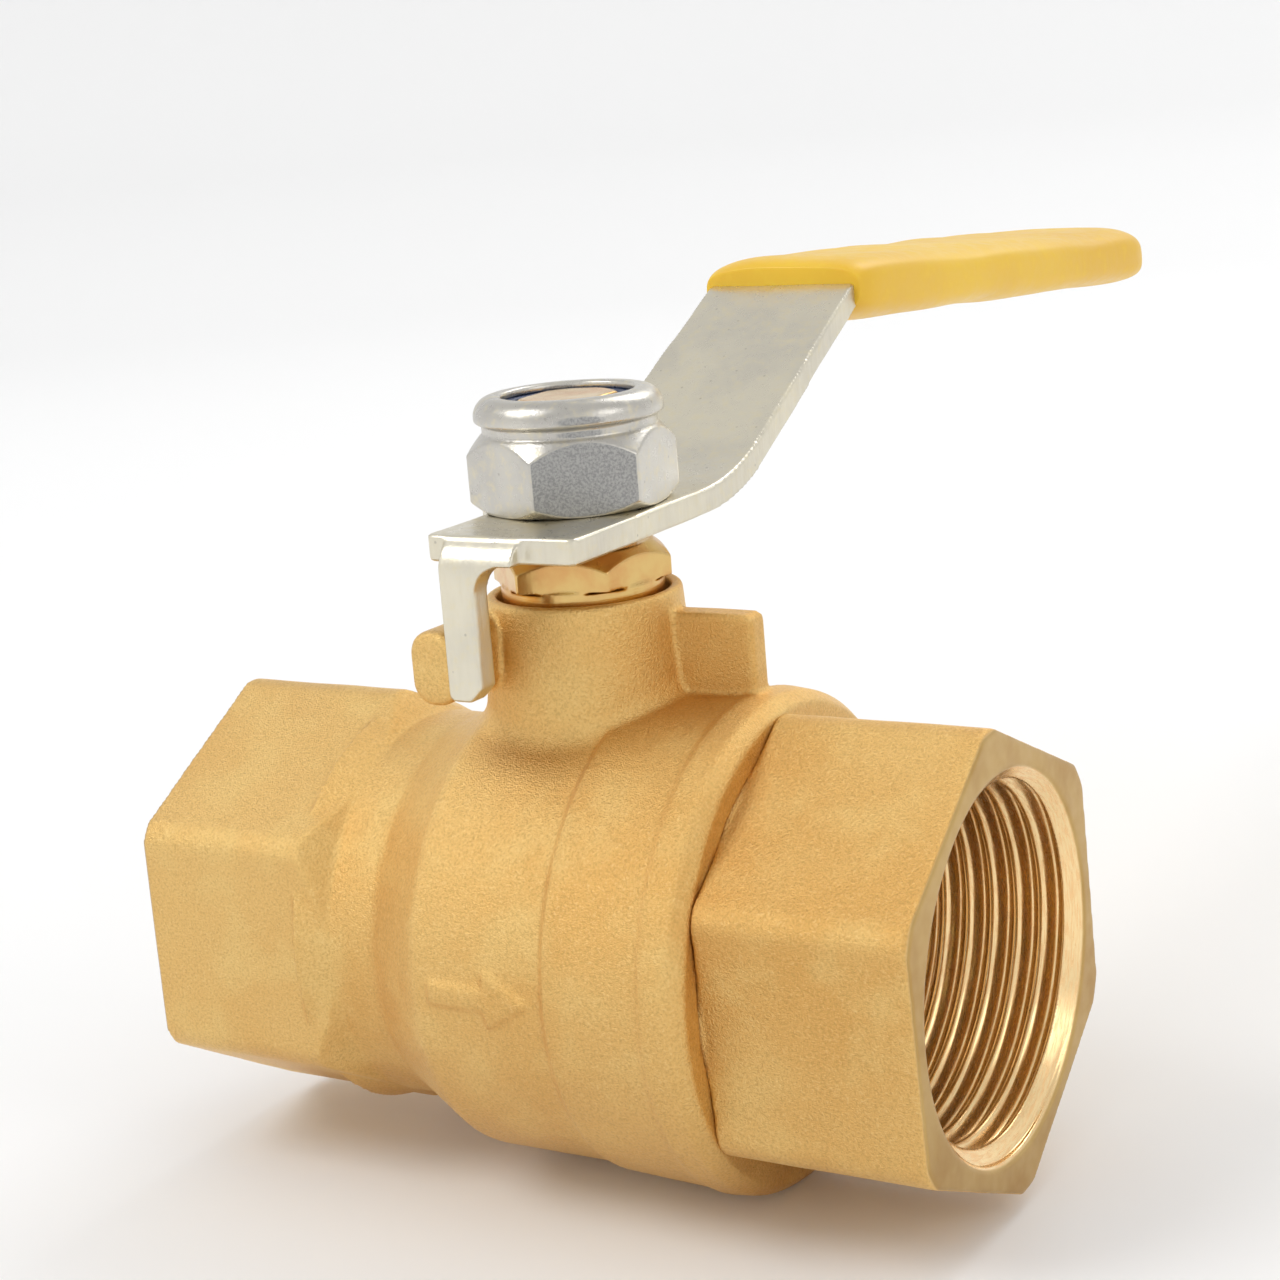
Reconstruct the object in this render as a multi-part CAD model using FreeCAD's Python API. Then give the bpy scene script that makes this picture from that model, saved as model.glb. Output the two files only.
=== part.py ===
"""Full-way brass ball valve for gas, Rp 1 female ends, with a lever handle.

Millimetres. The origin is the centre of the ball: +X runs along the pipe towards the screwed-in end
cap, +Z up the stem, and the lever points along +Y, across the pipe, because the valve is closed.
Turning the lever a quarter turn about +Z, until it points along -X, opens the valve.
"""

import FreeCAD, Part
import math
import os

# ---- driving dimensions ---------------------------------------------------------------------
# pipe ends: Rp 1 (ISO 7-1), bored at the crest radius of its thread
THREAD_MINOR_R = 15.145
MOUTH_R = 16.85
MOUTH_CHAMFER = 1.5
PORT_DEPTH = 20.0
BORE_R = 12.25

# outside of the body and the cap
END_X = 38.7
INLET_HEX_R = 20.5
OUTLET_HEX_R = 21.36
OUTLET_HEX_TURN = 5.1
HEX_ROUND = 2.8
JOINT_X = 19.6
HEX_END_X = -21.6
WAIST_R = 17.75
WAIST_START = -18.4
WAIST_END = -13.6
BARREL_START = -7.0
BARREL_R = 21.15
BAND_START = 5.9
BAND_R = 21.6
FLANGE_START = 15.6
FLANGE_R = 22.15
FLANGE_CHAMFER_X = 18.4
JOINT_FACE_R = 20.95

# neck and its two stops
NECK_TOP = 30.7
NECK_TOP_R = 8.7
NECK_ROOT_R = 9.9
NECK_ROOT_Z = 12.0
NECK_FILLET = 2.6
RIM_CUP_R = 7.7
OPEN_STOP = (7.0, 16.7, -0.25, 2.2, 21.3, 28.9)
CLOSED_STOP = (-8.3, -3.75, -15.3, -4.0, 23.4, 29.9)

# ball, seats and the joint between body and cap
BALL_R = 17.0
BALL_SLOT_W = 5.2
BALL_SLOT_FLOOR = 13.6
CAVITY_R = 17.7
SEAT_OUTER_R = 15.6
SEAT_BACK_X = 13.4
SEAT_GAP = 0.05
CAP_NOSE_X = 8.6
CAP_NOSE_R = 17.3
CAP_THREAD_R = 18.7
CAP_THREAD_START = 11.4
JOINT_GAP = 0.05
O_RING_R = 0.9

# stem and its packing
STEM_R = 5.0
STEM_BORE_R = 5.05
STEM_SHOULDER_R = 6.5
STEM_SHOULDER = (17.35, 18.8)
WASHER_T = 0.8
TANG_W = 4.9
TANG_HALF = 5.0
TANG_FLOOR = 13.9
FLAT_HALF = 3.6
STEM_TOP = 47.7
STEM_RING_Z = 21.3
STEM_RING_R = 0.55
STEM_GROOVE_HALF = 0.8
STEM_GROOVE_R = 3.7
PACKING_R = 6.9
PACKING_FLOOR = 23.0
PACKING_T = 1.5
PACKINGS = 2

# gland nut
GLAND_COLLAR_R = 7.2
GLAND_HEX_R = 8.1
GLAND_HEX_TURN = 17.6
GLAND_HEX_Z = 31.6
GLAND_TOP = 34.8

# lever, stamped from plate
PLATE_T = 2.3
LEVER_Z = 35.9
LEVER_BACK = -14.8
LEVER_HALF = 9.0
LEVER_MOUTH_HALF = 7.9
LEVER_TIP_HALF = 11.8
FIRST_BEND = (14.2, 24.0, 27.8)
MOUTH_Y = 41.9
SECOND_BEND_R = 6.0
SLEEVE_SLOPE = -3.5
LEVER_TIP = 110.0
TAB = (-3.7, -0.3)
TAB_FACE_Y = -16.4
TAB_BOTTOM = 24.3
TAB_BEND_R = 0.6
TAB_ROOT_R = 2.6
SHOULDER_X = -5.8
SHOULDER_Y = (-5.2, -1.5)

# sleeve
SLEEVE_TIP = 114.9
SLEEVE_SECTIONS = ((40.6, 8.5, 2.3), (42.6, 8.9, 3.0), (46.0, 9.4, 3.35), (114.9, 13.6, 3.4))
SLEEVE_TIP_ROUND = 9.0

# lock nut, M10 prevailing torque
NUT_AF = 16.0
NUT_TURN = -21.0
NUT_HEX_H = 6.6
NUT_COLLAR_Z = 7.5
NUT_H = 9.9
NUT_COLLAR_R = 8.3
NUT_MOUTH_R = 5.8
INSERT_R = 6.7
INSERT_Z = (7.4, 9.2)

X_AXIS = FreeCAD.Vector(1, 0, 0)
Z_AXIS = FreeCAD.Vector(0, 0, 1)
ORIGIN = FreeCAD.Vector(0, 0, 0)


# ---- helpers --------------------------------------------------------------------------------
def point(x, y, z):
    return FreeCAD.Vector(x, y, z)


def rounded_wire(corners):
    """Closed wire through corners (point, radius): straight runs joined by tangent arcs."""
    edges = []
    count = len(corners)
    ends = []
    for i, (here, radius) in enumerate(corners):
        before = (corners[i - 1][0] - here).normalize()
        after = (corners[(i + 1) % count][0] - here).normalize()
        if radius <= 0:
            ends.append((here, None, here))
            continue
        half = before.getAngle(after) / 2
        back = radius / math.tan(half)
        middle = (before + after).normalize()
        centre = here + middle * (radius / math.sin(half))
        ends.append((here + before * back, centre - middle * radius, here + after * back))
    for i, (start, mid, finish) in enumerate(ends):
        if mid is not None:
            edges.append(Part.Arc(start, mid, finish).toShape())
        following = ends[(i + 1) % count][0]
        if (following - finish).Length > 1e-6:
            edges.append(Part.LineSegment(finish, following).toShape())
    return Part.Wire(edges)


def turned_x(outline):
    """Solid turned about the pipe axis from corners (x, radius, rounding)."""
    wire = rounded_wire([(point(x, 0, r), rounding) for x, r, rounding in outline])
    return Part.Face(wire).revolve(ORIGIN, X_AXIS, 360)


def turned_z(outline):
    """Solid turned about the stem axis from corners (radius, z, rounding)."""
    wire = rounded_wire([(point(r, 0, z), rounding) for r, z, rounding in outline])
    return Part.Face(wire).revolve(ORIGIN, Z_AXIS, 360)


def rod_x(radius, x0, x1):
    return Part.makeCylinder(radius, x1 - x0, point(x0, 0, 0), X_AXIS)


def rod_z(radius, z0, z1):
    return Part.makeCylinder(radius, z1 - z0, point(0, 0, z0), Z_AXIS)


def block(x0, x1, y0, y1, z0, z1):
    return Part.makeBox(x1 - x0, y1 - y0, z1 - z0, point(x0, y0, z0))


def hex_x(radius, turn, rounding, x0, x1):
    """Hexagonal bar along X, its first corner turned from +Z towards -Y."""
    corners = []
    for k in range(6):
        a = math.radians(turn + 60 * k)
        corners.append((point(x0, -radius * math.sin(a), radius * math.cos(a)), rounding))
    return Part.Face(rounded_wire(corners)).extrude(point(x1 - x0, 0, 0))


def hex_z(radius, turn, rounding, z0, z1):
    """Hexagonal bar along Z, its first corner turned from +X towards +Y."""
    corners = []
    for k in range(6):
        a = math.radians(turn + 60 * k)
        corners.append((point(radius * math.cos(a), radius * math.sin(a), z0), rounding))
    return Part.Face(rounded_wire(corners)).extrude(point(0, 0, z1 - z0))


def port(sign):
    """Space of one pipe end, to be cut out: chamfer, then a plain bore at the thread's crest radius."""
    bore = [
        (0, 0),
        (0, MOUTH_R),
        (MOUTH_CHAMFER, THREAD_MINOR_R),
        (PORT_DEPTH, THREAD_MINOR_R),
        (PORT_DEPTH, 0),
    ]
    return turned_x([(sign * (END_X - depth), r, 0) for depth, r in bore])


# ---- body and cap ---------------------------------------------------------------------------
def stop_block(box, rounding, corner):
    """Rounded stop; corner is the rounding of the edges that run along Y."""
    stop = block(*box)
    along_y = [e for e in stop.Edges if abs(e.tangentAt(e.FirstParameter).y) > 0.9]
    stop = stop.makeFillet(corner, along_y)
    rest = [e for e in stop.Edges if e.BoundBox.YLength < 0.01]
    return stop.makeFillet(rounding, rest)


def body_core():
    """Waist, shoulder and barrel without the band, so that the neck blends into smooth faces."""
    return turned_x([
        (HEX_END_X, 0, 0),
        (HEX_END_X, INLET_HEX_R - 1.6, 0),
        (WAIST_START, WAIST_R, 0.8),
        (WAIST_END, WAIST_R, 2.5),
        (BARREL_START, BARREL_R, 2.0),
        (JOINT_X - 1, BARREL_R, 0),
        (JOINT_X - 1, 0, 0),
    ])


def band_and_flange():
    return turned_x([
        (BAND_START, BARREL_R - 3, 0),
        (BAND_START, BARREL_R, 0),
        (BAND_START + 0.5, BAND_R, 0.3),
        (FLANGE_START, FLANGE_R - 0.25, 0.1),
        (FLANGE_START + 0.4, FLANGE_R, 0.3),
        (FLANGE_CHAMFER_X, FLANGE_R - 0.25, 0.7),
        (JOINT_X, JOINT_FACE_R, 0.2),
        (JOINT_X, BARREL_R - 3, 0),
    ])


def inlet_hexagon():
    hexagon = hex_x(INLET_HEX_R, 0, HEX_ROUND, -END_X, WAIST_START)
    bevel = turned_x([
        (-END_X, 0, 0),
        (-END_X, INLET_HEX_R - 0.6, 0),
        (-END_X + 0.8, INLET_HEX_R + 0.4, 0),
        (HEX_END_X - 0.4, INLET_HEX_R + 0.4, 0),
        (WAIST_START, WAIST_R, 0),
        (WAIST_START, 0, 0),
    ])
    return hexagon.common(bevel)


def with_neck(core):
    """The body with its neck, and a fillet where the two meet."""
    neck = turned_z([
        (0, NECK_ROOT_Z, 0),
        (NECK_ROOT_R, NECK_ROOT_Z, 0),
        (NECK_TOP_R, NECK_TOP, 0.5),
        (0, NECK_TOP, 0),
    ])
    whole = core.fuse(neck).removeSplitter()
    seam = [e for e in whole.Edges if e.Curve.TypeId == "Part::GeomBSplineCurve"]
    seam = [e for e in seam if abs(e.CenterOfMass.x) < NECK_ROOT_R + 1 and e.CenterOfMass.z > WAIST_R]
    return whole.makeFillet(NECK_FILLET, seam)


def body_inside():
    seat = math.sqrt(CAVITY_R ** 2 - SEAT_OUTER_R ** 2)
    cavity = rod_x(CAVITY_R, 0, CAP_NOSE_X + 1)
    cavity = cavity.fuse(Part.makeSphere(CAVITY_R).common(block(-seat, 1, -20, 20, -20, 20)))
    cavity = cavity.fuse(rod_x(SEAT_OUTER_R + JOINT_GAP, -SEAT_BACK_X, 0))
    cavity = cavity.fuse(rod_x(BORE_R, -END_X + PORT_DEPTH - 1, 0))
    cavity = cavity.fuse(rod_x(CAP_NOSE_R + JOINT_GAP + 0.4, CAP_NOSE_X, CAP_THREAD_START))
    cavity = cavity.fuse(rod_x(CAP_THREAD_R + JOINT_GAP, CAP_THREAD_START, JOINT_X + 1))
    return cavity.fuse(port(-1))


def neck_inside():
    ledge = STEM_SHOULDER[1] + WASHER_T
    space = rod_z(STEM_SHOULDER_R + 0.2, 0, ledge)
    space = space.fuse(rod_z(STEM_BORE_R, 0, NECK_TOP))
    space = space.fuse(rod_z(PACKING_R + 0.02, PACKING_FLOOR, PACKING_FLOOR + PACKINGS * PACKING_T + 0.5))
    thread_from = PACKING_FLOOR + PACKINGS * PACKING_T
    space = space.fuse(rod_z(GLAND_COLLAR_R + 0.03, thread_from, NECK_TOP))
    return space.fuse(rod_z(RIM_CUP_R, NECK_TOP - 1.6, NECK_TOP + 1))


def flow_arrow():
    """Plain raised arrow on the barrel's -Y side, pointing along +X."""
    points = [(-5.2, -0.9), (0.4, -0.9), (0.4, -2.6), (4.4, 0), (0.4, 2.6), (0.4, 0.9), (-5.2, 0.9)]
    corners = [(point(x, -BARREL_R - 0.35, z), 0.15) for x, z in points]
    arrow = Part.Face(rounded_wire(corners)).extrude(point(0, 3, 0))
    return arrow.common(rod_x(BARREL_R + 0.35, -7, 7))


def valve_body():
    shape = with_neck(body_core()).fuse(band_and_flange()).fuse(inlet_hexagon())
    shape = shape.fuse(stop_block(OPEN_STOP, 0.3, 0.8))
    shape = shape.fuse(stop_block(CLOSED_STOP, 0.6, 2.0))
    shape = shape.fuse(flow_arrow())
    return shape.cut(body_inside()).cut(neck_inside())


def end_cap():
    nose = turned_x([
        (CAP_NOSE_X, 0, 0),
        (CAP_NOSE_X, CAP_NOSE_R, 0.3),
        (CAP_THREAD_START + 0.2, CAP_NOSE_R, 0),
        (CAP_THREAD_START + 0.2, CAP_THREAD_R, 0.3),
        (JOINT_X, CAP_THREAD_R, 0),
        (JOINT_X, 0, 0),
    ])
    hexagon = hex_x(OUTLET_HEX_R, OUTLET_HEX_TURN, HEX_ROUND, JOINT_X, END_X)
    bevel = turned_x([
        (JOINT_X, 0, 0),
        (JOINT_X, OUTLET_HEX_R, 0),
        (END_X - 0.8, OUTLET_HEX_R, 0),
        (END_X, OUTLET_HEX_R - 0.9, 0),
        (END_X, 0, 0),
    ])
    shape = nose.fuse(hexagon.common(bevel))
    groove_x = CAP_THREAD_START - 1.3
    groove = rod_x(20, groove_x - O_RING_R, groove_x + O_RING_R)
    groove = groove.cut(rod_x(CAP_NOSE_R - 1.35, 0, 20))
    shape = shape.cut(groove)
    space = rod_x(SEAT_OUTER_R + JOINT_GAP, 0, SEAT_BACK_X)
    space = space.fuse(rod_x(BORE_R, 0, END_X - PORT_DEPTH + 1))
    return shape.cut(space).cut(port(1))


def cap_o_ring():
    x = CAP_THREAD_START - 1.3
    return Part.makeTorus(CAP_NOSE_R - 0.45, O_RING_R - 0.02, point(x, 0, 0), X_AXIS)


# ---- ball and seats -------------------------------------------------------------------------
def ball():
    shape = Part.makeSphere(BALL_R)
    shape = shape.cut(Part.makeCylinder(BORE_R, 40, point(0, -20, 0), point(0, 1, 0)))
    slot = block(-20, 20, -BALL_SLOT_W / 2, BALL_SLOT_W / 2, BALL_SLOT_FLOOR, 20)
    return shape.cut(slot)


def seat_ring(sign):
    ring = turned_x([
        (0, BORE_R, 0),
        (0, SEAT_OUTER_R, 0),
        (SEAT_BACK_X, SEAT_OUTER_R, 0.3),
        (SEAT_BACK_X, BORE_R, 0.3),
    ])
    ring = ring.cut(Part.makeSphere(BALL_R + SEAT_GAP)).cut(rod_x(20, -1, 8.0))
    if sign < 0:
        ring = ring.mirror(ORIGIN, X_AXIS)
    return ring


# ---- stem and what seals it -----------------------------------------------------------------
def stem():
    shape = rod_z(STEM_R, STEM_SHOULDER[0], STEM_TOP - 0.8)
    shape = shape.fuse(Part.makeCone(STEM_R, STEM_R - 0.8, 0.8, point(0, 0, STEM_TOP - 0.8), Z_AXIS))
    shape = shape.fuse(rod_z(STEM_SHOULDER_R, *STEM_SHOULDER))
    tang = block(-TANG_HALF, TANG_HALF, -TANG_W / 2, TANG_W / 2, TANG_FLOOR, STEM_SHOULDER[0])
    shape = shape.fuse(tang.common(rod_z(TANG_HALF, 0, 30)))
    for side in (-1, 1):
        start = FLAT_HALF if side > 0 else -FLAT_HALF - 5
        shape = shape.cut(block(start, start + 5, -8, 8, LEVER_Z, STEM_TOP + 1))
    groove = rod_z(STEM_R + 1, STEM_RING_Z - STEM_GROOVE_HALF, STEM_RING_Z + STEM_GROOVE_HALF)
    return shape.cut(groove.cut(rod_z(STEM_GROOVE_R, 0, STEM_TOP)))


def stem_o_ring():
    return Part.makeTorus(STEM_R - STEM_RING_R, STEM_RING_R, point(0, 0, STEM_RING_Z), Z_AXIS)


def ring_z(inner, outer, z0, z1, rounding=0.1):
    return turned_z([
        (inner, z0, rounding),
        (outer, z0, rounding),
        (outer, z1, rounding),
        (inner, z1, rounding),
    ])


def thrust_washer():
    z = STEM_SHOULDER[1]
    return ring_z(STEM_BORE_R, STEM_SHOULDER_R - 0.1, z + 0.02, z + WASHER_T)


def packing_ring(index):
    z = PACKING_FLOOR + index * PACKING_T
    return ring_z(STEM_BORE_R, PACKING_R, z, z + PACKING_T)


def gland_nut():
    bottom = PACKING_FLOOR + PACKINGS * PACKING_T
    collar = rod_z(GLAND_COLLAR_R, bottom, GLAND_HEX_Z)
    hexagon = hex_z(GLAND_HEX_R, GLAND_HEX_TURN, 0.25, GLAND_HEX_Z, GLAND_TOP)
    bevel = turned_z([
        (0, GLAND_HEX_Z, 0),
        (GLAND_HEX_R + 0.1, GLAND_HEX_Z, 0),
        (GLAND_HEX_R + 0.1, GLAND_TOP - 1.6, 0),
        (GLAND_HEX_R - 1.8, GLAND_TOP, 0.3),
        (0, GLAND_TOP, 0),
    ])
    shape = collar.fuse(hexagon.common(bevel))
    return shape.cut(rod_z(STEM_BORE_R, 0, 60))


# ---- lever, sleeve and lock nut -------------------------------------------------------------
def lever_path():
    """Corner points (y, z, bend radius) of the plate's lower face, from its back edge to its tip."""
    bend_y, bend_r, angle = FIRST_BEND
    rise = math.tan(math.radians(angle)) * (MOUTH_Y - bend_y)
    end_z = LEVER_Z + rise + math.tan(math.radians(SLEEVE_SLOPE)) * (LEVER_TIP - MOUTH_Y)
    return [
        (LEVER_BACK, LEVER_Z, 0),
        (bend_y, LEVER_Z, bend_r),
        (MOUTH_Y, LEVER_Z + rise, SECOND_BEND_R),
        (LEVER_TIP, end_z, 0),
    ]


def bent_plate(path, thickness, half_width):
    """Plate of constant thickness whose lower face follows the path, seen along X."""
    profile = []
    upper = []
    last = len(path) - 1
    for i, (y, z, radius) in enumerate(path):
        here = point(0, y, z)
        before = (here - point(0, *path[i - 1][:2])).normalize() if i else None
        after = (point(0, *path[i + 1][:2]) - here).normalize() if i < last else None
        before = before or after
        after = after or before
        normal_a = point(0, -before.z, before.y)
        normal_b = point(0, -after.z, after.y)
        offset = (normal_a + normal_b) * (thickness / (1 + normal_a.dot(normal_b)))
        left = before.y * after.z - before.z * after.y > 0
        profile.append((here, radius + thickness if radius and left else radius))
        upper.append((here + offset, radius + thickness if radius and not left else radius))
    face = Part.Face(rounded_wire(profile + upper[::-1]))
    solid = face.extrude(point(2 * half_width, 0, 0))
    solid.translate(point(-half_width, 0, 0))
    return solid


def lever():
    plate = bent_plate(lever_path(), PLATE_T, LEVER_TIP_HALF + 1)
    plan = [
        (point(LEVER_HALF, LEVER_BACK, 0), 0.7),
        (point(LEVER_MOUTH_HALF, MOUTH_Y, 0), 30),
        (point(LEVER_TIP_HALF, LEVER_TIP, 0), 8),
        (point(-LEVER_TIP_HALF, LEVER_TIP, 0), 8),
        (point(-LEVER_MOUTH_HALF, MOUTH_Y, 0), 30),
        (point(-LEVER_HALF, SHOULDER_Y[1], 0), 1.5),
        (point(SHOULDER_X, SHOULDER_Y[0], 0), 1.5),
        (point(SHOULDER_X, LEVER_BACK, 0), 0.8),
    ]
    outline = Part.Face(rounded_wire(plan)).extrude(point(0, 0, 90))
    shape = plate.common(outline).fuse(stop_tab())
    hole = rod_z(STEM_R + 0.02, LEVER_Z - 1, LEVER_Z + PLATE_T + 1)
    flats = block(-FLAT_HALF - 0.02, FLAT_HALF + 0.02, -8, 8, LEVER_Z - 1, LEVER_Z + PLATE_T + 1)
    return shape.cut(hole.common(flats)).removeSplitter()


def stop_tab():
    """Tab bent down from the plate's back edge; it meets the stops at the ends of the travel."""
    top = LEVER_Z + PLATE_T
    inner = TAB_FACE_Y + PLATE_T
    root = inner + TAB_BEND_R + 0.5
    profile = [
        (point(0, root, top), 0),
        (point(0, TAB_FACE_Y, top), TAB_BEND_R + PLATE_T),
        (point(0, TAB_FACE_Y, TAB_BOTTOM), 0),
        (point(0, inner, TAB_BOTTOM), 0),
        (point(0, inner, LEVER_Z), TAB_BEND_R),
        (point(0, root, LEVER_Z), 0),
    ]
    reach = TAB[1] + 1.5 * TAB_ROOT_R
    tab = Part.Face(rounded_wire(profile)).extrude(point(reach - TAB[0], 0, 0))
    tab.translate(point(TAB[0], 0, 0))
    corner = 1.2
    front = [
        (point(TAB[0], 0, TAB_BOTTOM), 0.7),
        (point(TAB[0], 0, top + 1), 0),
        (point(reach, 0, top + 1), 0),
        (point(reach, 0, LEVER_Z), 0),
        (point(TAB[1], 0, LEVER_Z), TAB_ROOT_R),
        (point(TAB[1], 0, TAB_BOTTOM + corner), 0.2),
        (point(TAB[1] - corner, 0, TAB_BOTTOM), 0.2),
    ]
    return tab.common(Part.Face(rounded_wire(front)).extrude(point(0, 2 * TAB_FACE_Y, 0)))


def sleeve_height(y):
    """Height of the plate's middle where the sleeve covers it."""
    bend_y, bend_z, _ = lever_path()[2]
    return bend_z + math.tan(math.radians(SLEEVE_SLOPE)) * (y - bend_y) + PLATE_T / 2


def lever_sleeve():
    wires = []
    for y, half_w, half_h in SLEEVE_SECTIONS:
        z = sleeve_height(y)
        corners = [
            (point(-half_w, y, z - half_h), 0.75 * half_h),
            (point(half_w, y, z - half_h), 0.75 * half_h),
            (point(half_w, y, z + half_h), 0.75 * half_h),
            (point(-half_w, y, z + half_h), 0.75 * half_h),
        ]
        wires.append(rounded_wire(corners))
    outside = Part.makeLoft(wires, True, True)
    half = SLEEVE_SECTIONS[-1][1] + 0.2
    plan = [
        (point(-half, 0, 0), 0),
        (point(half, 0, 0), 0),
        (point(half, SLEEVE_TIP, 0), SLEEVE_TIP_ROUND),
        (point(-half, SLEEVE_TIP, 0), SLEEVE_TIP_ROUND),
    ]
    outside = outside.common(Part.Face(rounded_wire(plan)).extrude(point(0, 0, 90)))
    return outside.cut(lever())


def lock_nut():
    z = LEVER_Z + PLATE_T
    circum = NUT_AF / math.sqrt(3)
    waist = NUT_COLLAR_R - 0.45
    hexagon = hex_z(circum, NUT_TURN, 0.4, z, z + NUT_HEX_H)
    bevel = turned_z([
        (0, z, 0),
        (circum - 1.3, z, 0.4),
        (circum + 0.1, z + 1.1, 0),
        (circum + 0.1, z + NUT_HEX_H - 1.75, 0),
        (waist, z + NUT_HEX_H, 0),
        (0, z + NUT_HEX_H, 0),
    ])
    collar = turned_z([
        (0, z + NUT_HEX_H - 2, 0),
        (waist - 0.2, z + NUT_HEX_H - 2, 0),
        (waist - 0.2, z + NUT_COLLAR_Z, 0.2),
        (NUT_COLLAR_R, z + NUT_COLLAR_Z + 0.3, 0.3),
        (NUT_COLLAR_R, z + NUT_H, 1.7),
        (NUT_MOUTH_R, z + NUT_H, 0.3),
        (NUT_MOUTH_R, z + NUT_H - 0.7, 0),
        (0, z + NUT_H - 0.7, 0),
    ])
    shape = hexagon.common(bevel).fuse(collar)
    shape = shape.cut(rod_z(STEM_R + 0.02, z - 1, z + NUT_H + 1))
    return shape.cut(rod_z(INSERT_R, z + INSERT_Z[0], z + INSERT_Z[1]))


def nylon_insert():
    z = LEVER_Z + PLATE_T
    return ring_z(STEM_R + 0.02, INSERT_R - 0.02, z + INSERT_Z[0], z + INSERT_Z[1], 0.2)


def write(node, shape):
    solids = shape.Solids
    if len(solids) == 1:
        shape = solids[0]
    if not shape.isValid():
        raise ValueError(node + " is not a valid solid")
    shape.exportStep("parts/" + node + ".step")


def main():
    os.makedirs("parts", exist_ok=True)
    write("valve_body", valve_body())
    write("end_cap", end_cap())
    write("cap_o_ring", cap_o_ring())
    write("ball", ball())
    write("seat_ring_inlet", seat_ring(-1))
    write("seat_ring_outlet", seat_ring(1))
    write("stem", stem())
    write("thrust_washer", thrust_washer())
    write("stem_o_ring", stem_o_ring())
    write("packing_ring_lower", packing_ring(0))
    write("packing_ring_upper", packing_ring(1))
    write("gland_nut", gland_nut())
    write("lever", lever())
    write("lever_sleeve", lever_sleeve())
    write("lock_nut", lock_nut())
    write("nylon_insert", nylon_insert())


main()
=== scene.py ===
"""Looks of a gas ball valve: softened castings, helical port threads, vinyl sleeve, studio."""

import math

import bpy
import numpy as np
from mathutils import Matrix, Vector, noise


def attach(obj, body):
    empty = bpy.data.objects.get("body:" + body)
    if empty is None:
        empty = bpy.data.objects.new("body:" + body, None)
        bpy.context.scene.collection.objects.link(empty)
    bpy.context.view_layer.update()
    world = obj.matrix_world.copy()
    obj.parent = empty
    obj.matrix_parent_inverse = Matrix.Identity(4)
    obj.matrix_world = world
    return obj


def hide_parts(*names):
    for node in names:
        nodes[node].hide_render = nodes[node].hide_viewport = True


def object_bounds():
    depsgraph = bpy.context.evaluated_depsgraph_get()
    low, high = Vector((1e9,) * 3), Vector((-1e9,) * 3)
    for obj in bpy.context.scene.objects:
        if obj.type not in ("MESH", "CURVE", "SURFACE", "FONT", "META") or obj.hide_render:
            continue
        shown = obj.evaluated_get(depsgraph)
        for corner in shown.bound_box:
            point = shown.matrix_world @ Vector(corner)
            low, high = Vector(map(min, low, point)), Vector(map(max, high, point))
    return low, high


bpy.ops.wm.read_factory_settings(use_empty=True)
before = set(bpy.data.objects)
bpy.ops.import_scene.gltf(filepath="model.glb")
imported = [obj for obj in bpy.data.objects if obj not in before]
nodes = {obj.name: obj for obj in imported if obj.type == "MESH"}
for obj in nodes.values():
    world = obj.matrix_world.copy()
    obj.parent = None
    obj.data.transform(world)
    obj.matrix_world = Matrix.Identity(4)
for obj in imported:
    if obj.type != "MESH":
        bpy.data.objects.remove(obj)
cad_box = [list(corner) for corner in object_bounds()]
MM = 0.001

# ---- view: fitted to the viewing angle of the photograph -------------------------------------
CAMERA_AT = (0.12056, -0.18719, 0.0768)
CAMERA_TURN = (76.9925, 4.4545, 30.5799)
CAMERA_LENS = 72.9017
SENSOR = 36.0
CLIP_START = 0.01


def add_camera():
    data = bpy.data.cameras.new("camera")
    data.lens = CAMERA_LENS
    data.sensor_width = SENSOR
    data.clip_start = CLIP_START
    camera = bpy.data.objects.new("camera", data)
    camera.location = CAMERA_AT
    camera.rotation_euler = [math.radians(a) for a in CAMERA_TURN]
    bpy.context.collection.objects.link(camera)
    bpy.context.scene.camera = camera


# ---- materials: colours are linear, sizes are in mm -----------------------------------------
CAST_LIGHT = (0.80, 0.515, 0.185)
CAST_DARK = (0.75, 0.44, 0.14)
CAST_PATCH = (0.85, 0.62, 0.25)
CAST_PIT = (0.50, 0.30, 0.09)
CAST_GLINT = (0.95, 0.74, 0.36)
PORT_LIGHT = (0.96, 0.72, 0.38)
PORT_DARK = (0.92, 0.60, 0.29)
FACE_LIGHT = (0.56, 0.375, 0.145)
FACE_DARK = (0.48, 0.295, 0.10)
TURNED_LIGHT = (0.72, 0.50, 0.19)
TURNED_DARK = (0.68, 0.38, 0.14)
LEVER_LIGHT = (0.76, 0.71, 0.575)
LEVER_DARK = (0.68, 0.64, 0.54)
NUT_LIGHT = (0.63, 0.605, 0.545)
NUT_DARK = (0.54, 0.52, 0.48)
PLATING_STAIN = (0.76, 0.68, 0.47)
PLATING_SPECK = (0.28, 0.26, 0.23)
# Painted shade: the two dark greys painted on one chosen flat of the nut
SHADED_FLAT_DARK = (0.31, 0.31, 0.305)
SHADED_FLAT_LIGHT = (0.46, 0.455, 0.44)
VINYL_LIGHT = (0.84, 0.53, 0.022)
VINYL_DARK = (0.78, 0.46, 0.016)
VINYL_PATCH = (0.87, 0.60, 0.045)
VINYL_SCATTER = (1.0, 0.7, 0.2)
CHROME_LIGHT = (0.80, 0.81, 0.83)
CHROME_DARK = (0.72, 0.73, 0.76)

# Where the cast skin changes to cut metal, each as (one side, other side) of a soft border
PORT_BORDER_R = (16.95, 16.75)
PORT_BORDER_X = (18.0, 18.4)
FACE_BORDER_X = (38.45, 38.62)


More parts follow.
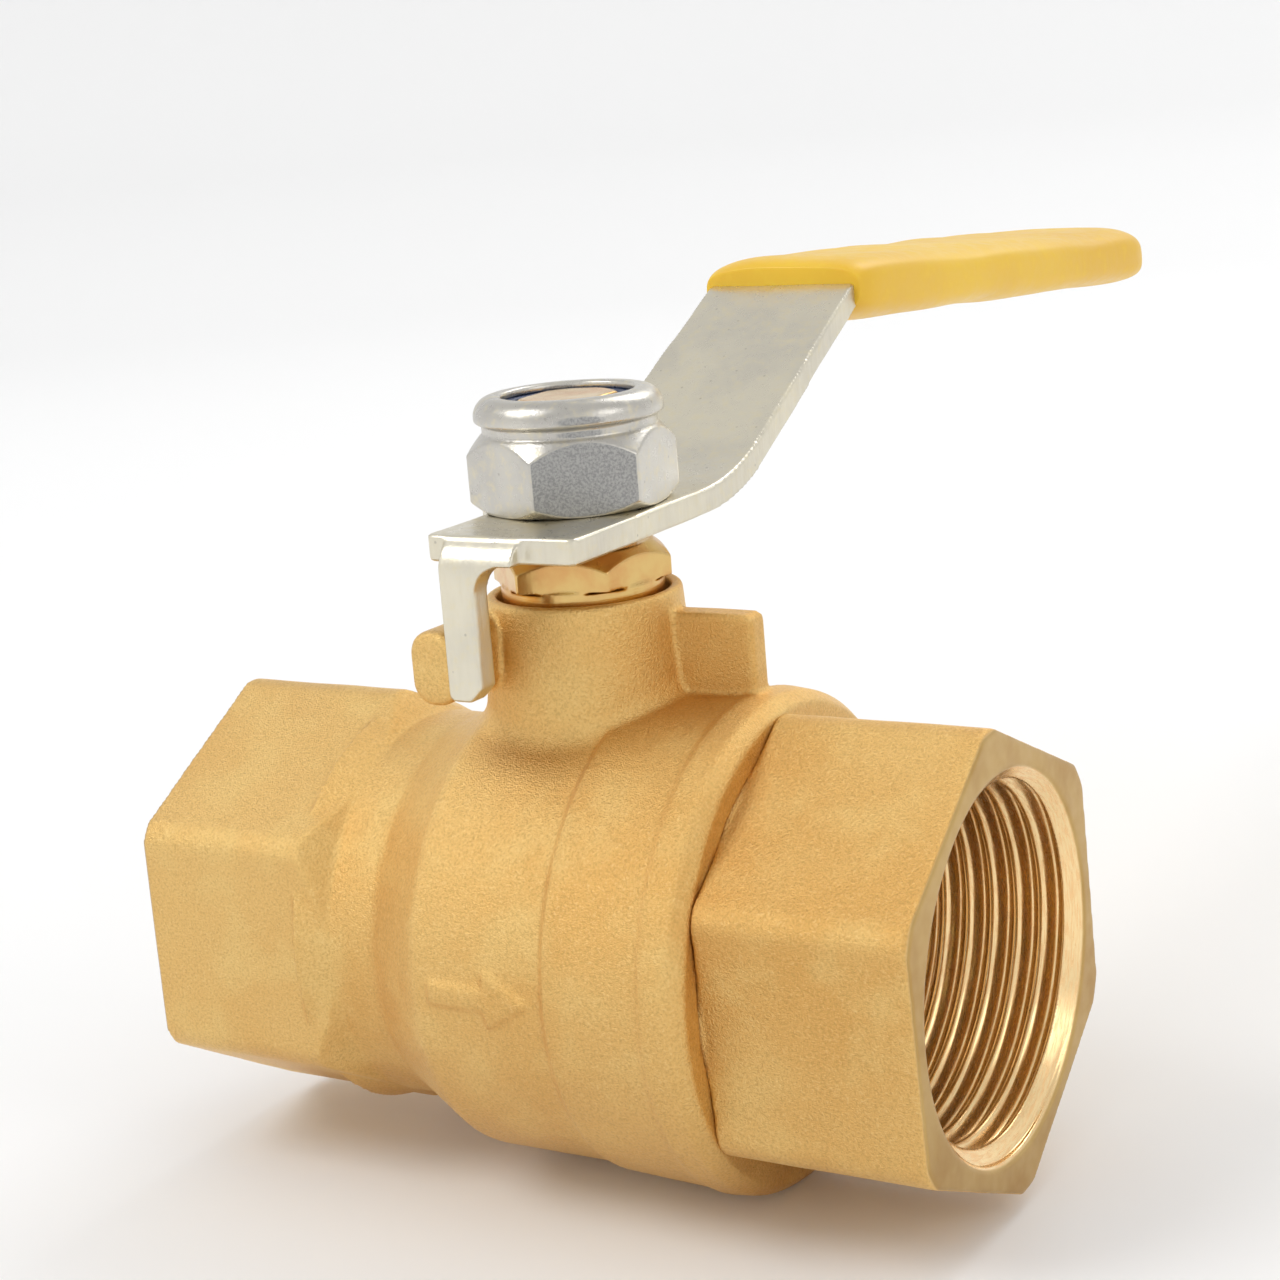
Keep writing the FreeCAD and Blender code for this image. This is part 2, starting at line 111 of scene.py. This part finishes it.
class Shader:
    """A material's node tree with short calls: numbers set a socket, sockets are linked."""

    def __init__(self, name):
        self.material = bpy.data.materials.new(name)
        self.material.use_nodes = True
        self.tree = self.material.node_tree
        self.bsdf = self.tree.nodes["Principled BSDF"]
        self.coords = self.add("ShaderNodeTexCoord")
        self.place = self.coords.outputs["Object"]
        split = self.add("ShaderNodeSeparateXYZ", {0: self.place})
        self.x, self.y, self.z = split.outputs
        facing = self.add("ShaderNodeSeparateXYZ", {0: self.coords.outputs["Normal"]})
        self.nx, self.ny, self.nz = facing.outputs

    def add(self, kind, inputs=None, **settings):
        """One node. Its inputs are sockets to link or values to set."""
        made = self.tree.nodes.new(kind)
        for name, value in settings.items():
            setattr(made, name, value)
        for key, value in (inputs or {}).items():
            if isinstance(value, bpy.types.NodeSocket):
                self.tree.links.new(value, made.inputs[key])
            else:
                made.inputs[key].default_value = value
        return made

    def maths(self, operation, a, b=0.0, c=0.0):
        return self.add("ShaderNodeMath", {0: a, 1: b, 2: c}, operation=operation).outputs[0]

    def ramp(self, value, low, high, start=0.0, end=1.0):
        """Smooth step from start to end while value goes from low to high."""
        made = self.add("ShaderNodeMapRange", {0: value, 1: low, 2: high, 3: start, 4: end})
        made.interpolation_type = "SMOOTHSTEP"
        return made.outputs[0]

    def noise(self, size_mm, detail=3.0, rough=0.55, stretch=None):
        """Noise with features about size_mm across; stretch scales the three axes."""
        at = self.place
        if stretch:
            scaled = self.add("ShaderNodeVectorMath", {0: at, 1: stretch}, operation="MULTIPLY")
            at = scaled.outputs[0]
        made = self.add(
            "ShaderNodeTexNoise",
            {"Vector": at, "Scale": 1 / (size_mm * MM), "Detail": detail, "Roughness": rough},
        )
        return made.outputs[0]

    def cells(self, size_mm):
        """Distance to the nearest of scattered points about size_mm apart."""
        made = self.add("ShaderNodeTexVoronoi", {"Vector": self.place, "Scale": 1 / (size_mm * MM)})
        return made.outputs["Distance"]

    def blend(self, factor, a, b):
        """Number that goes from a to b with factor."""
        return self.add("ShaderNodeMix", {0: factor, 2: a, 3: b}).outputs[0]

    def mix(self, factor, a, b):
        """Colour that goes from a to b with factor."""
        made = self.add("ShaderNodeMix", {}, data_type="RGBA")
        for index, value in ((0, factor), (6, a), (7, b)):
            if isinstance(value, bpy.types.NodeSocket):
                self.tree.links.new(value, made.inputs[index])
            else:
                made.inputs[index].default_value = value if index == 0 else (*value, 1)
        return made.outputs[2]

    def bump(self, height, strength, depth_mm, under=None):
        """Normal bumped by height, on top of the normal under."""
        inputs = {"Height": height, "Strength": strength, "Distance": depth_mm * MM}
        if under:
            inputs["Normal"] = under
        return self.add("ShaderNodeBump", inputs).outputs[0]

    def finish(self, colour=None, rough=None, normal=None, **values):
        """Links the main sockets and sets others by name, with _ for a space."""
        for socket, link in (("Base Color", colour), ("Roughness", rough), ("Normal", normal)):
            if link is not None:
                self.tree.links.new(link, self.bsdf.inputs[socket])
        for name, value in values.items():
            self.bsdf.inputs[name.replace("_", " ")].default_value = value
        return self.material


def brass_cast():
    """Sand-blasted yellow brass, with machined port and end face."""
    s = Shader("cast_brass")
    squares = s.maths("ADD", s.maths("MULTIPLY", s.y, s.y), s.maths("MULTIPLY", s.z, s.z))
    radius = s.maths("SQRT", squares)
    along = s.maths("ABSOLUTE", s.x)
    inside = s.ramp(radius, *(r * MM for r in PORT_BORDER_R))
    deep = s.ramp(along, *(x * MM for x in PORT_BORDER_X))
    port = s.maths("MULTIPLY", inside, deep)
    face = s.ramp(along, *(x * MM for x in FACE_BORDER_X))
    machined = s.maths("MAXIMUM", port, face)

    broad = s.noise(26, 2.0)
    patch = s.noise(7, 3.0)
    grain = s.noise(0.24, 3.0, 0.6)
    fine = s.noise(0.12, 2.0, 0.6)
    colour = s.mix(s.ramp(broad, 0.36, 0.66), CAST_LIGHT, CAST_DARK)
    colour = s.mix(s.ramp(patch, 0.42, 0.72, 0.0, 0.55), colour, CAST_PATCH)
    colour = s.mix(s.ramp(grain, 0.34, 0.52, 0.38, 0.0), colour, CAST_PIT)
    colour = s.mix(s.ramp(grain, 0.54, 0.68, 0.0, 0.30), colour, CAST_GLINT)
    streak = s.noise(1.4, 2.0, 0.5, (14.0, 1.0, 1.0))
    cut = s.mix(s.ramp(streak, 0.35, 0.7), PORT_LIGHT, PORT_DARK)
    sawn = s.mix(s.ramp(patch, 0.35, 0.7), FACE_LIGHT, FACE_DARK)
    cut = s.mix(face, cut, sawn)
    colour = s.mix(machined, colour, cut)

    rough = s.ramp(patch, 0.3, 0.75, 0.34, 0.43)
    rough = s.maths("ADD", rough, s.ramp(fine, 0.3, 0.7, -0.03, 0.05))
    turned = s.ramp(streak, 0.3, 0.7, 0.20, 0.30)
    turned = s.maths("ADD", turned, s.maths("MULTIPLY", face, 0.14))
    rough = s.blend(machined, rough, turned)

    blasted_skin_and_shade = s.maths("SUBTRACT", 1.0, machined)
    grit = s.maths("MULTIPLY", s.maths("ADD", grain, s.maths("MULTIPLY", fine, 0.6)), blasted_skin_and_shade)
    normal = s.bump(patch, 0.25, 0.25)
    normal = s.bump(grit, 0.75, 0.12, normal)
    rings = s.maths("MULTIPLY", s.noise(0.12, 1.0, 0.5, (1.0, 0.03, 0.03)), machined)
    normal = s.bump(rings, 0.15, 0.02, normal)
    return s.finish(colour, rough, normal, Metallic=1.0)


def brass_turned():
    """Bright machined brass with fine turning marks around the stem axis."""
    s = Shader("turned_brass")
    broad = s.noise(3.5, 3.0)
    marks = s.noise(0.22, 2.0, 0.5, (0.05, 0.05, 1.0))
    colour = s.mix(s.ramp(broad, 0.35, 0.68), TURNED_LIGHT, TURNED_DARK)
    rough = s.ramp(broad, 0.3, 0.7, 0.16, 0.26)
    normal = s.bump(s.noise(1.8, 2.0), 0.2, 0.12)
    normal = s.bump(marks, 0.3, 0.04, normal)
    return s.finish(colour, rough, normal, Metallic=1.0)


def steel(name, light, dark, sheared=False, shaded_flat=None):
    """Zinc-plated steel. sheared roughens the upright edges of a plate that lies flat.

    The last argument is the direction, in degrees about Z, that one flat of a nut faces; that flat gets
    painted shade in dark grey and a duller finish.
    """
    s = Shader(name)
    broad = s.noise(9, 3.0)
    mottle = s.noise(1.1, 4.0, 0.65)
    speck = s.cells(1.7)
    grit = s.noise(0.28, 3.0, 0.6)
    colour = s.mix(s.ramp(broad, 0.36, 0.66), light, dark)
    colour = s.mix(s.ramp(mottle, 0.48, 0.72, 0.0, 0.5), colour, PLATING_STAIN)
    colour = s.mix(s.ramp(speck, 0.04, 0.10, 0.4, 0.0), colour, PLATING_SPECK)
    rough = s.ramp(mottle, 0.3, 0.75, 0.26, 0.40)
    normal = s.bump(mottle, 0.22, 0.10)
    normal = s.bump(grit, 0.28, 0.05, normal)
    if sheared:
        flat = s.maths("ABSOLUTE", s.nz)
        edge = s.ramp(flat, 0.55, 0.35)
        shear = s.noise(0.5, 2.0, 0.6, (1.0, 1.0, 0.15))
        rough = s.blend(edge, rough, s.ramp(shear, 0.3, 0.7, 0.34, 0.5))
        normal = s.bump(s.maths("MULTIPLY", shear, edge), 0.35, 0.12, normal)
    # Painted shade: the one nut flat that faces the given bearing is painted dark grey, with its own
    # grain, a duller finish and a bump
    if shaded_flat is not None:
        a = math.radians(shaded_flat)
        across = s.maths("MULTIPLY", s.nx, math.cos(a))
        towards = s.maths("MULTIPLY_ADD", s.ny, math.sin(a), across)
        shade_mask = s.ramp(towards, 0.955, 0.985)
        flat_grain = s.noise(0.2, 3.0, 0.65)
        blasted_skin_and_shade = s.mix(s.ramp(flat_grain, 0.35, 0.65), SHADED_FLAT_DARK, SHADED_FLAT_LIGHT)
        colour = s.mix(shade_mask, colour, blasted_skin_and_shade)
        rough = s.blend(shade_mask, rough, 0.5)
        normal = s.bump(s.maths("MULTIPLY", flat_grain, shade_mask), 0.5, 0.08, normal)
    return s.finish(colour, rough, normal, Metallic=1.0)


def vinyl():
    """Soft yellow dipped vinyl with a faint orange-peel skin."""
    s = Shader("yellow_sleeve")
    broad = s.noise(22, 2.0)
    skin = s.noise(1.3, 2.0, 0.5)
    fine = s.noise(0.35, 2.0, 0.5)
    colour = s.mix(s.ramp(broad, 0.35, 0.68), VINYL_LIGHT, VINYL_DARK)
    colour = s.mix(s.ramp(skin, 0.5, 0.75, 0.0, 0.25), colour, VINYL_PATCH)
    rough = s.ramp(skin, 0.3, 0.7, 0.36, 0.48)
    normal = s.bump(skin, 0.16, 0.12)
    normal = s.bump(fine, 0.15, 0.03, normal)
    return s.finish(
        colour, rough, normal, Subsurface_Weight=0.25, Subsurface_Scale=0.0015,
        Subsurface_Radius=VINYL_SCATTER, Coat_Weight=0.1, Coat_Roughness=0.3,
    )


def plastic(name, light, dark, rough_low, rough_high):
    """Plain moulded plastic or rubber, faintly clouded."""
    s = Shader(name)
    cloud = s.noise(1.2, 3.0)
    fine = s.noise(0.25, 2.0)
    colour = s.mix(s.ramp(cloud, 0.35, 0.68), light, dark)
    rough = s.ramp(cloud, 0.3, 0.7, rough_low, rough_high)
    normal = s.bump(fine, 0.2, 0.03)
    return s.finish(colour, rough, normal)


def chrome():
    """Hard chrome plating, with fine polishing scratches across the bore."""
    s = Shader("chromed_ball")
    cloud = s.noise(6, 2.0)
    scratch = s.noise(0.12, 2.0, 0.5, (1.0, 0.04, 0.3))
    colour = s.mix(s.ramp(cloud, 0.35, 0.68), CHROME_LIGHT, CHROME_DARK)
    rough = s.ramp(scratch, 0.3, 0.75, 0.05, 0.14)
    normal = s.bump(scratch, 0.12, 0.01)
    return s.finish(colour, rough, normal, Metallic=1.0)


def dress(piece, material):
    """Gives every face of a piece one material."""
    piece.data.materials.clear()
    piece.data.materials.append(material)
    for face in piece.data.polygons:
        face.material_index = 0


# ---- pieces ---------------------------------------------------------------------------------
def add_piece(name, mesh, body, material, slot_name, *stands_for):
    """New piece that rides on a body and takes the place of CAD nodes."""
    piece = bpy.data.objects.new(name, mesh)
    bpy.context.collection.objects.link(piece)
    dress(piece, material)
    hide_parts(*stands_for)
    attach(piece, body)
    return piece


# Node: voxel in mm, smoothing passes, then how deep and how wide its unevenness is, in mm
SOFTENING = {
    "valve_body": (0.28, 3, 0.05, 5.0),
    "end_cap": (0.22, 3, 0.03, 5.0),
    "lever": (0.22, 3, 0.03, 5.0),
    "lock_nut": (0.13, 3, 0.02, 2.5),
    "gland_nut": (0.12, 2, 0.02, 2.5),
    "stem": (0.14, 2, 0.02, 2.0),
}


def softened(node):
    """Mesh of a CAD node remade evenly, with its edges rounded as by forging or plating."""
    voxel_mm, passes, uneven_mm, uneven_size_mm = SOFTENING[node]
    work = bpy.data.objects.new("work", nodes[node].data.copy())
    bpy.context.collection.objects.link(work)
    remesh = work.modifiers.new("even", "REMESH")
    remesh.mode = "VOXEL"
    remesh.voxel_size = voxel_mm * MM
    remesh.use_smooth_shade = True
    relax = work.modifiers.new("relax", "SMOOTH")
    relax.factor = 0.5
    relax.iterations = passes
    bpy.context.view_layer.update()
    depsgraph = bpy.context.evaluated_depsgraph_get()
    mesh = bpy.data.meshes.new_from_object(work.evaluated_get(depsgraph))
    bpy.data.objects.remove(work)
    count = len(mesh.vertices)
    places = np.empty(count * 3)
    normals = np.empty(count * 3)
    mesh.vertices.foreach_get("co", places)
    mesh.vertex_normals.foreach_get("vector", normals)
    scale = 1 / (uneven_size_mm * MM)
    push = [noise.noise(Vector(at) * scale) for at in places.reshape(-1, 3)]
    places += normals * np.repeat(push, 3) * uneven_mm * MM
    mesh.vertices.foreach_set("co", places)
    mesh.update()
    return mesh


# Pipe thread, in mm. Depths are measured inwards from the end face.
THREAD_PITCH = 25.4 / 11
THREAD_MINOR_R = 15.145
THREAD_ROOT_R = 16.45
THREAD_LAND = 0.156  # flat on each side of a crest or root, in half pitches
THREAD_ROUNDING = 0.35  # how far the flanks bend from straight to a smooth step
THREAD_FADE = (17.0, 18.9)  # depths over which the thread runs out
FIRST_CREST = 3.4
END_X = 38.7
MOUTH_R = 16.85
MOUTH_CHAMFER = 1.5
FACE_SKIN = 0.12  # depth that still belongs to the end face
WALL_BEYOND = 0.5  # what counts as the port's wall: this far past the run-out,
WALL_OUTSIDE = 0.05  # this far outside the mouth's radius
WALL_INSIDE = 0.3  # and this far inside the crests
NO_RADIUS = 0.001  # keeps the axis itself from dividing by zero


def cut_thread(mesh, sign):
    """Cuts a right-hand helical thread, running out inwards, in the port on one side of X."""
    count = len(mesh.vertices)
    places = np.empty(count * 3)
    mesh.vertices.foreach_get("co", places)
    places = places.reshape(-1, 3) / MM
    radius = np.hypot(places[:, 1], places[:, 2])
    turn = np.arctan2(places[:, 2], places[:, 1]) / (2 * math.pi)
    depth = END_X - sign * places[:, 0]
    wall = (depth > FACE_SKIN) & (depth < THREAD_FADE[1] + WALL_BEYOND)
    wall &= (radius < MOUTH_R + WALL_OUTSIDE) & (radius > THREAD_MINOR_R - WALL_INSIDE)
    phase = (places[:, 0] - sign * (END_X - FIRST_CREST)) / THREAD_PITCH - turn
    rise = 1 - np.abs(2 * (phase - np.floor(phase)) - 1)
    rise = np.clip((rise - THREAD_LAND) / (1 - 2 * THREAD_LAND), 0, 1)
    smooth = rise * rise * (3 - 2 * rise)
    rise = smooth * THREAD_ROUNDING + rise * (1 - THREAD_ROUNDING)
    rise *= np.clip((THREAD_FADE[1] - depth) / (THREAD_FADE[1] - THREAD_FADE[0]), 0, 1)
    wanted = THREAD_MINOR_R + (THREAD_ROOT_R - THREAD_MINOR_R) * rise
    slope = (MOUTH_R - THREAD_MINOR_R) / MOUTH_CHAMFER
    wanted = np.maximum(wanted, MOUTH_R - slope * depth)
    scale = np.where(wall, wanted / np.maximum(radius, NO_RADIUS), 1.0)
    places[:, 1] *= scale
    places[:, 2] *= scale
    mesh.vertices.foreach_set("co", (places * MM).ravel())
    mesh.update()
    return mesh


def superellipse(half_w, half_h, power, count):
    """Points of one rounded cross-section, as (across, up)."""
    ring = []
    for k in range(count):
        a = 2 * math.pi * (k + 0.5) / count
        c, d = math.cos(a), math.sin(a)
        ring.append((
            half_w * math.copysign(abs(c) ** (2 / power), c),
            half_h * math.copysign(abs(d) ** (2 / power), d),
        ))
    return ring


# Vinyl sleeve, in mm. It lies along Y, from its open mouth to its tip.
SLEEVE_MOUTH = 40.6
SLEEVE_TIP = 114.9
SLEEVE_MOUTH_HALF = 9.2
SLEEVE_TIP_HALF = 13.6
SLEEVE_HALF_H = 3.4
SLEEVE_LIP = 2.3  # half height right at the mouth
SLEEVE_LIP_FADE = 1.2
SLEEVE_PINCH = 0.7  # how much narrower each side is right at the mouth
SLEEVE_PINCH_FADE = 1.6
SLEEVE_TIP_ROUND = 10.0
SLEEVE_NOSE = 3.0  # length over which the tip thins to this share of its height
SLEEVE_NOSE_SHARE = 0.25
SLEEVE_POWER = 3.4  # 2 is an ellipse, more is squarer
SLEEVE_SLOPE = -3.5
SLEEVE_TILT_FROM = (41.9, 51.65)  # y and z of a point on its middle line
SLEEVE_RIPPLE = 0.10  # unevenness, as a share of the height
SLEEVE_RIPPLE_SIDE = 0.12  # share of that ripple that goes into the width
SLEEVE_RIPPLE_SIZE = (6, 9, 3)
SLEEVE_STATIONS = 46
SLEEVE_AROUND = 36


def sleeve_mesh():
    """Vinyl sleeve as one closed skin: lip at the mouth, flat faces, full round edges and tip."""
    fall = math.tan(math.radians(SLEEVE_SLOPE))
    length = SLEEVE_TIP - SLEEVE_MOUTH
    points = []
    for i in range(SLEEVE_STATIONS + 1):
        t = i / SLEEVE_STATIONS
        y = SLEEVE_MOUTH + length * (0.5 - 0.5 * math.cos(math.pi * t))
        share = (y - SLEEVE_MOUTH) / length
        half_w = SLEEVE_MOUTH_HALF + (SLEEVE_TIP_HALF - SLEEVE_MOUTH_HALF) * share
        half_w -= SLEEVE_PINCH * math.exp(-(y - SLEEVE_MOUTH) / SLEEVE_PINCH_FADE)
        to_tip = SLEEVE_TIP - y
        if to_tip < SLEEVE_TIP_ROUND:
            inset = 1 - to_tip / SLEEVE_TIP_ROUND
            half_w -= SLEEVE_TIP_ROUND * (1 - math.sqrt(max(0.0, 1 - inset * inset)))
        at_lip = math.exp(-(y - SLEEVE_MOUTH) / SLEEVE_LIP_FADE)
        half_h = SLEEVE_HALF_H - (SLEEVE_HALF_H - SLEEVE_LIP) * at_lip
        if to_tip < SLEEVE_NOSE:
            inset = 1 - to_tip / SLEEVE_NOSE
            rounded = math.sqrt(max(0.0, 1 - inset * inset))
            half_h *= SLEEVE_NOSE_SHARE + (1 - SLEEVE_NOSE_SHARE) * rounded
        z = SLEEVE_TILT_FROM[1] + fall * (y - SLEEVE_TILT_FROM[0])
        for across, up in superellipse(half_w, half_h, SLEEVE_POWER, SLEEVE_AROUND):
            at = (across / SLEEVE_RIPPLE_SIZE[0], y / SLEEVE_RIPPLE_SIZE[1], up / SLEEVE_RIPPLE_SIZE[2])
            ripple = SLEEVE_RIPPLE * noise.noise(Vector(at))
            across *= 1 + ripple * SLEEVE_RIPPLE_SIDE
            points.append(Vector((across, y, z + up * (1 + ripple))) * MM)
    faces = []
    for i in range(SLEEVE_STATIONS):
        for k in range(SLEEVE_AROUND):
            a = i * SLEEVE_AROUND
            b = a + SLEEVE_AROUND
            n = (k + 1) % SLEEVE_AROUND
            faces.append((a + k, a + n, b + n, b + k))
    faces.append(tuple(range(SLEEVE_AROUND - 1, -1, -1)))
    last = SLEEVE_STATIONS * SLEEVE_AROUND
    faces.append(tuple(range(last, last + SLEEVE_AROUND)))
    mesh = bpy.data.meshes.new("sleeve")
    mesh.from_pydata(points, [], faces)
    mesh.shade_smooth()
    mesh.update()
    return mesh


# ---- studio, in metres ----------------------------------------------------------------------
FLOOR_Z = cad_box[0][2]
BOWL = ((0.8, 0.0), (1.05, 0.05), (1.25, 0.2), (1.35, 0.45), (1.4, 0.9))  # radius, rise
BOWL_TURNS = 64
FLOOR_CLOUD_MM = 300
FLOOR_LIGHT = (0.93, 0.93, 0.93)
FLOOR_DARK = (0.91, 0.91, 0.91)
LIGHTS = (  # name, place, width, watts
    ("key_light", (-0.55, -0.55, 0.9), 0.6, 3.8),
    ("side_light", (0.9, -0.1, 0.5), 0.5, 0.8),
    ("back_light", (0.1, 0.8, 0.8), 0.6, 2.6),
)
LIGHT_AIM = (0, 0.02, 0.01)
WORLD_COLOUR = (1.0, 1.0, 1.0, 1)
WORLD_STRENGTH = 0.73


def add_studio():
    """Pale floor that curves up all round, as one smooth bowl."""
    points = []
    for radius, rise in BOWL:
        for k in range(BOWL_TURNS):
            a = 2 * math.pi * k / BOWL_TURNS
            points.append((radius * math.cos(a), radius * math.sin(a), FLOOR_Z + rise))
    points.append((0, 0, FLOOR_Z))
    faces = [(k, (k + 1) % BOWL_TURNS, len(points) - 1) for k in range(BOWL_TURNS)]
    for ring in range(len(BOWL) - 1):
        for k in range(BOWL_TURNS):
            a = ring * BOWL_TURNS
            b = a + BOWL_TURNS
            n = (k + 1) % BOWL_TURNS
            faces.append((a + k, b + k, b + n, a + n))
    mesh = bpy.data.meshes.new("studio_floor")
    mesh.from_pydata(points, [], faces)
    mesh.shade_smooth()
    floor = bpy.data.objects.new("studio_floor", mesh)
    bpy.context.collection.objects.link(floor)
    s = Shader("pale_floor")
    colour = s.mix(s.noise(FLOOR_CLOUD_MM, 2.0), FLOOR_LIGHT, FLOOR_DARK)
    dress(floor, s.finish(colour, Roughness=0.9, Specular_IOR_Level=0.1))


def add_light(name, at, size, power):
    data = bpy.data.lights.new(name, "AREA")
    data.shape = "DISK"
    data.size = size
    data.energy = power
    light = bpy.data.objects.new(name, data)
    light.location = at
    light.rotation_euler = (Vector(LIGHT_AIM) - Vector(at)).to_track_quat("-Z", "Y").to_euler()
    bpy.context.collection.objects.link(light)


def add_world():
    world = bpy.data.worlds.new("studio")
    world.use_nodes = True
    world.node_tree.nodes["Background"].inputs[0].default_value = WORLD_COLOUR
    world.node_tree.nodes["Background"].inputs[1].default_value = WORLD_STRENGTH
    bpy.context.scene.world = world


# ---- put together ---------------------------------------------------------------------------
HOUSING = "valve_housing"
LEVER = "lever_and_stem"
INLET, OUTLET = -1, 1
# Bearing, in degrees about Z, of the nut flat that gets painted shade
SHADED_FLAT = -51
SLEEVE_LEVELS = 2

cast = brass_cast()
turned = brass_turned()
plated = steel("plated_steel", LEVER_LIGHT, LEVER_DARK, sheared=True)
plated_nut = steel("plated_nut", NUT_LIGHT, NUT_DARK, shaded_flat=SHADED_FLAT)
yellow = vinyl()
ptfe = plastic("ptfe", (0.86, 0.86, 0.84), (0.80, 0.80, 0.78), 0.32, 0.45)
rubber = plastic("nitrile", (0.018, 0.018, 0.019), (0.03, 0.03, 0.031), 0.4, 0.55)
blue = plastic("blue_nylon", (0.012, 0.028, 0.085), (0.018, 0.04, 0.12), 0.25, 0.4)
chromed = chrome()

for node_name, material in (
    ("ball", chromed), ("cap_o_ring", rubber), ("stem_o_ring", rubber),
    ("seat_ring_inlet", ptfe), ("seat_ring_outlet", ptfe), ("thrust_washer", ptfe),
    ("packing_ring_lower", ptfe), ("packing_ring_upper", ptfe), ("nylon_insert", blue),
):
    dress(nodes[node_name], material)

body_mesh = cut_thread(softened("valve_body"), INLET)
add_piece("body_casting", body_mesh, HOUSING, cast, "cast_brass", "valve_body")
cap_mesh = cut_thread(softened("end_cap"), OUTLET)
add_piece("cap_casting", cap_mesh, HOUSING, cast, "cast_brass", "end_cap")
add_piece("lever_plate", softened("lever"), LEVER, plated, "plated_steel", "lever")
add_piece("nut", softened("lock_nut"), LEVER, plated_nut, "plated_steel", "lock_nut")
add_piece("gland", softened("gland_nut"), HOUSING, turned, "turned_brass", "gland_nut")
add_piece("stem_bar", softened("stem"), LEVER, turned, "turned_brass", "stem")
sleeve = add_piece("grip_sleeve", sleeve_mesh(), LEVER, yellow, "yellow_sleeve", "lever_sleeve")
rounding = sleeve.modifiers.new("rounding", "SUBSURF")
rounding.levels = SLEEVE_LEVELS
rounding.render_levels = SLEEVE_LEVELS

add_studio()
add_world()
for light_name, place, width, watts in LIGHTS:
    add_light(light_name, place, width, watts)
add_camera()
bpy.context.scene.view_settings.view_transform = "Standard"
